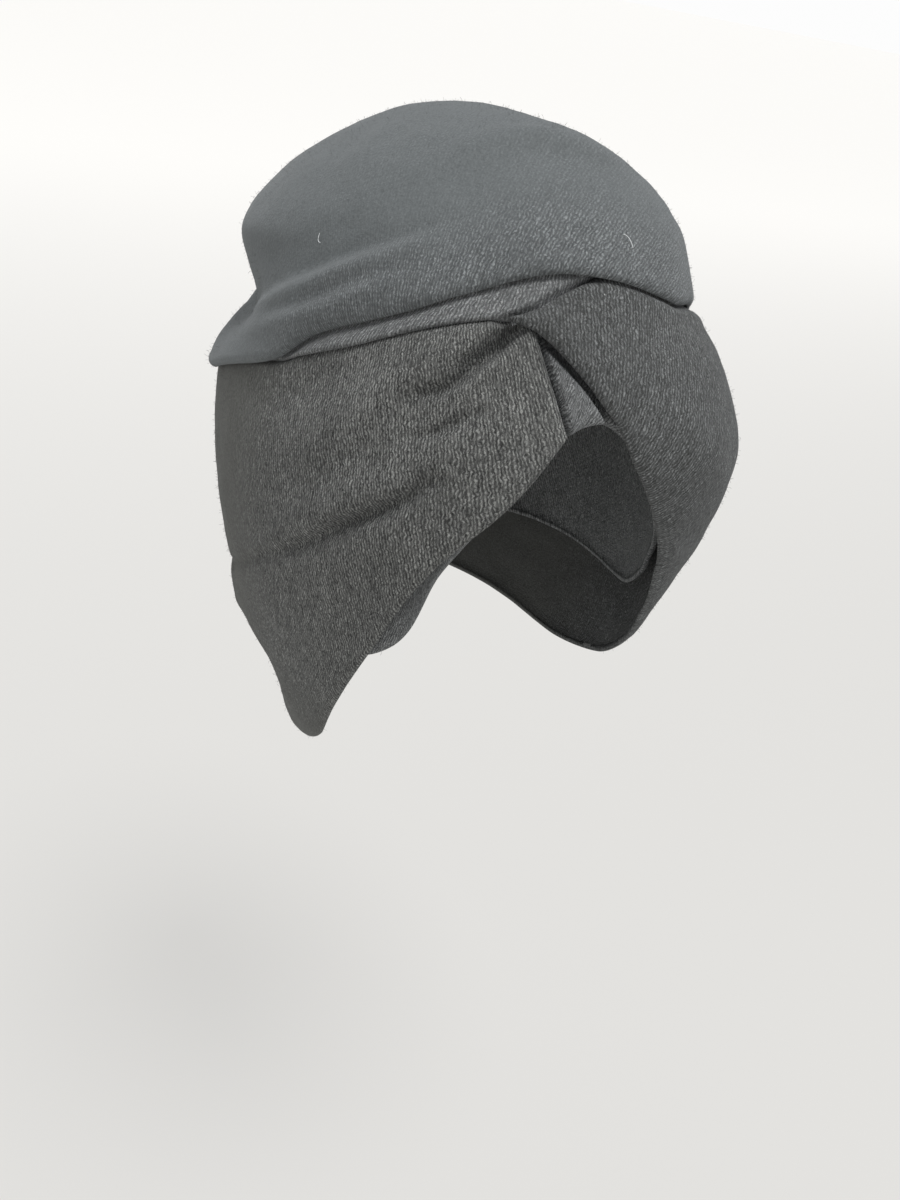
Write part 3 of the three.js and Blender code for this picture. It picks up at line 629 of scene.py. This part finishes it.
# The strip between the crown and the wraps is a tuck of the crown's own cloth. It opens at the
# right temple, where the crown's edge lifts off the wraps, and ends under the left wrap.
FOLD_STANDOFF = 0.0098
FOLD_SINK = 0.0028
FOLD_WALL = 0.0014
FOLD_GAP = 0.0014
STRIP_GAP = 0.0005
FOLD_CELLS = (260, 30)
FOLD_EDGES = (
    # share, top heading, top latitude, hem heading, hem latitude
    (0, -104, 25, -104, 18), (0.1, -91, 29, -92, 22), (0.2, -79, 33, -82, 25),
    (0.3, -68, 38, -73.5, 27), (0.38, -60, 41.5, -65.5, 30), (0.48, -48, 45.5, -51.6, 34.6),
    (0.58, -36, 48.5, -40.5, 38.3), (0.68, -26, 51, -30.4, 40.8), (0.78, -16, 53, -20.6, 42.3),
    (0.86, -7, 54, -10, 43.2), (0.93, 6, 53.5, 4, 44), (1, 22, 51.5, 22, 45.5),
)


def crown_edge(heading):
    return through([row[0] for row in CROWN_EDGE], [row[1] for row in CROWN_EDGE], heading)


def crown_skin(heading, latitude):
    edge = crown_edge(heading)
    rise = (latitude - edge) / (90 - edge)
    form = read_form(CROWN_FORM, CROWN_HEADINGS, rise, heading)
    return CROWN_FULLNESS * form + fold_height(CROWN_FOLDS, heading, latitude)


def strip_skin(heading, latitude):
    below = crown_edge(heading) - latitude
    roll_top = through([row[2] for row in LEFT_EDGES[:6]], [row[1] for row in LEFT_EDGES[:6]],
                       latitude)
    own = FOLD_STANDOFF - FOLD_SINK * ease(heading - roll_top, -4, -0.4)
    cover = crown_skin(heading, latitude) - CROWN_WALL - FOLD_GAP
    return lower(own, cover + 0.0011 * np.maximum(0, below))


def beyond(edge, latitude):
    """How far a skin may rise again once it has come out from under an edge."""
    return 0.0018 * np.maximum(0, edge - latitude)


def right_skin(heading, latitude):
    form = read_form(RIGHT_FORM, RIGHT_HEADINGS, latitude, heading)
    own = WRAP_FULLNESS * form + fold_height(RIGHT_FOLDS, heading, latitude)
    strip_hem = through([row[3] for row in FOLD_EDGES], [row[4] for row in FOLD_EDGES], heading)
    under_strip = (strip_skin(heading, latitude) - FOLD_WALL - STRIP_GAP
                   + beyond(strip_hem, latitude))
    under_crown = (crown_skin(heading, latitude) - CROWN_WALL - LAYER_GAP
                   + beyond(crown_edge(heading), latitude))
    strip_end = ease(heading, -112, -105)
    return lower(own, under_crown * (1 - strip_end) + under_strip * strip_end)


def left_skin(heading, latitude):
    form = read_form(LEFT_FORM, LEFT_HEADINGS, latitude, heading)
    own = ROLL_FULLNESS * form + fold_height(LEFT_FOLDS, heading, latitude)
    cover = crown_skin(heading, latitude) - CROWN_WALL - LAYER_GAP
    return lower(own, cover + beyond(crown_edge(heading), latitude))


def band_skin(heading, latitude, u, v):
    wrap = np.where(heading < 0, right_skin(heading, latitude), left_skin(heading, latitude))
    under = lower(BAND_STANDOFF, wrap - WRAP_WALL - BAND_GAP)
    # In the gap between the wraps it swells out, until it is nearly level with the right one.
    fan_front = RIGHT_EDGES[0]
    past_fan = heading - fan_front[3] - (fan_front[1] - fan_front[3]) * (
        (latitude - fan_front[4]) / (fan_front[2] - fan_front[4]))
    roll_hem = through([row[3] for row in LEFT_EDGES[:10]], [row[4] for row in LEFT_EDGES[:10]],
                       heading)
    past_fan *= np.cos(np.radians(latitude))
    front = 1 - ease(heading, 9, 16)
    return under + front * BAND_RISE * (
        ease(past_fan, 0, 1.1) * ease(roll_hem - latitude, -0.8, 1.8))


def all_open(heading, latitude):
    return np.ones(len(heading))


band_knit = knit_cloth("band_knit", (0.050, 0.052, 0.052, 1), (0.042, 0.044, 0.044, 1),
                       (0.36, 0.37, 0.37, 1), 1.4, 0.2, turn=math.radians(35))
under_band, band_grid = lay_cloth("inner_band", BAND_CELLS, between(BAND_EDGES), band_skin,
                                  BAND_WALL, ("hem",), all_open)
dress(under_band, "under_band", band_knit, band_grid, 300)


# Each wrap is laid over the band, with its hem turned in to the head past its front end.
def hugging(skin, turn_in, start):
    def hugged(heading, latitude, u, v):
        free = skin(heading, latitude)
        hold = ease(u, start / 2, start)
        hem = free + (np.minimum(free, HEM_HUG) - free) * hold
        return hem + (free - hem) * np.sqrt(ease(v, -0.02, turn_in))

    return hugged


def seamed(place, side):
    def placed(u, v):
        heading, latitude = place(u, v)
        return heading - SEAM_TURN * side * u, latitude

    return placed


def fan_openness(heading, latitude):
    """Felting has closed the stitches behind the temple and down at the tip."""
    return 0.12 + 0.88 * ease(heading, -92, -58) * ease(latitude, -64, -36)


fan_knit = knit_cloth("fan_knit", (0.080, 0.081, 0.073, 1), (0.023, 0.0235, 0.023, 1),
                      (0.36, 0.365, 0.35, 1), 1.12, 0.08)
right_fan, right_grid = lay_cloth("right_fan", RIGHT_CELLS, seamed(between(RIGHT_EDGES), -1),
                                  hugging(right_skin, 0.12, 0.02), WRAP_WALL,
                                  ("start", "end", "hem"), fan_openness, crowd=1.3)
dress(right_fan, "right_wrap", fan_knit, right_grid, 3200)


# The strip lies on the gathered top of the right wrap, and goes in under the left one.
def strip_openness(heading, latitude):
    return 0.15 + 0.75 * ease(heading, -88, -60)


roll_knit = knit_cloth("roll_knit", (0.078, 0.079, 0.073, 1), (0.020, 0.021, 0.021, 1),
                       (0.30, 0.31, 0.31, 1), 1.0, 0.08)
# The strip gets its own lighter copy of the crown's knit, with painted light: its yarn and flecks
# are brighter so that it stays bright in the shade under the crown's overhang.
strip_knit_painted_light = knit_cloth("strip_knit_painted_light", (0.084, 0.087, 0.086, 1), (0.064, 0.066, 0.066, 1),
                        (0.40, 0.41, 0.41, 1), 1.2, 0.2)
strip, strip_grid = lay_cloth("crown_strip", FOLD_CELLS, between(FOLD_EDGES),
                              lambda heading, latitude, u, v: strip_skin(heading, latitude),
                              FOLD_WALL, ("hem",), strip_openness, roll=0.9)
dress(strip, "crown_fold", strip_knit_painted_light, strip_grid, 300)

def roll_openness(heading, latitude):
    return 0.12 + 0.66 * (1 - ease(heading, 55, 105))


left_roll, left_grid = lay_cloth("left_roll", LEFT_CELLS, seamed(between(LEFT_EDGES), 1),
                                 hugging(left_skin, 0.3, 0.34), WRAP_WALL,
                                 ("end", "hem", "top"), roll_openness)
dress(left_roll, "left_wrap", roll_knit, left_grid, 3200)


# The crown goes on last, and its stitches run straight over the top of the head.
CROWN_WALE_TURN = math.radians(40)


def crown_place(u, v):
    heading = -180 + 360 * u
    edge = crown_edge(heading)
    return heading, edge + (90 - edge) * v ** 1.15


def crown_wales(heading, latitude):
    """Stitches counted outwards from the top, so that they run straight over it."""
    reach = np.radians(90 - latitude) * 0.115
    turn = np.radians(heading) + CROWN_WALE_TURN
    return np.stack((reach * np.sin(turn), reach * np.cos(turn)), 1)


def crown_openness(heading, latitude):
    """The stitches show along the front of the edge, and faintly over the right of the top."""
    rise = latitude - crown_edge(heading)
    front = ease(heading, -88, -58) * (1 - ease(heading, 20, 60))
    return 0.12 + 0.7 * front * (1 - ease(rise, 3, 17)) + 0.12 * ease(heading, -40, 0)


crown_knit = knit_cloth("crown_knit", (0.117, 0.128, 0.130, 1), (0.060, 0.064, 0.065, 1),
                        (0.33, 0.35, 0.355, 1), 1.1, 0.15, 0.9)
dome, dome_grid = lay_cloth("crown_dome", CROWN_CELLS, crown_place,
                            lambda heading, latitude, u, v: crown_skin(heading, latitude),
                            CROWN_WALL, ("hem",), crown_openness, crown_wales)
dress(dome, "crown", crown_knit, dome_grid, 4800)


# Two pale bent hairs and a speck of lint cling to the cloth.
LINT = (
    # heading and latitude of both ends, the bend between them
    ((7.2, 55.1), (8.9, 53.0), 0.5), ((-71.2, 50.9), (-69.9, 49.6), -0.4),
    ((0.4, 46.5), (0.55, 46.25), 0.0),
)
LINT_THICKNESS = 0.00008
LINT_LIFT = 0.0008

lint_hairs = bpy.data.curves.new("lint", "CURVE")
lint_hairs.dimensions = "3D"
lint_hairs.bevel_depth = LINT_THICKNESS
for start, end, bend in LINT:
    share = np.linspace(0, 1, 9)
    bow = bend * np.sin(math.pi * share)
    hair_heading = start[0] + (end[0] - start[0]) * share + bow
    hair_latitude = start[1] + (end[1] - start[1]) * share + bow
    hair_points, hair_square = on_head(hair_heading, hair_latitude)
    under_hair = np.maximum(crown_skin(hair_heading, hair_latitude)
                            * (hair_latitude > crown_edge(hair_heading)),
                            left_skin(hair_heading, hair_latitude))
    hair_points = hair_points + hair_square * (under_hair + LINT_LIFT)[:, None]
    hair = lint_hairs.splines.new("POLY")
    hair.points.add(len(hair_points) - 1)
    hair.points.foreach_set("co", np.insert(hair_points, 3, 1, axis=1).ravel())
lint_pale = bpy.data.materials.new("lint_pale")
lint_pale.use_nodes = True
lint_pale.node_tree.nodes["Principled BSDF"].inputs["Base Color"].default_value = (
    0.8, 0.82, 0.82, 1)
lint_pale.node_tree.nodes["Principled BSDF"].inputs["Roughness"].default_value = 0.7
lint_hairs.materials.append(lint_pale)
lint = bpy.data.objects.new("lint", lint_hairs)
bpy.context.scene.collection.objects.link(lint)
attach(lint, "root")
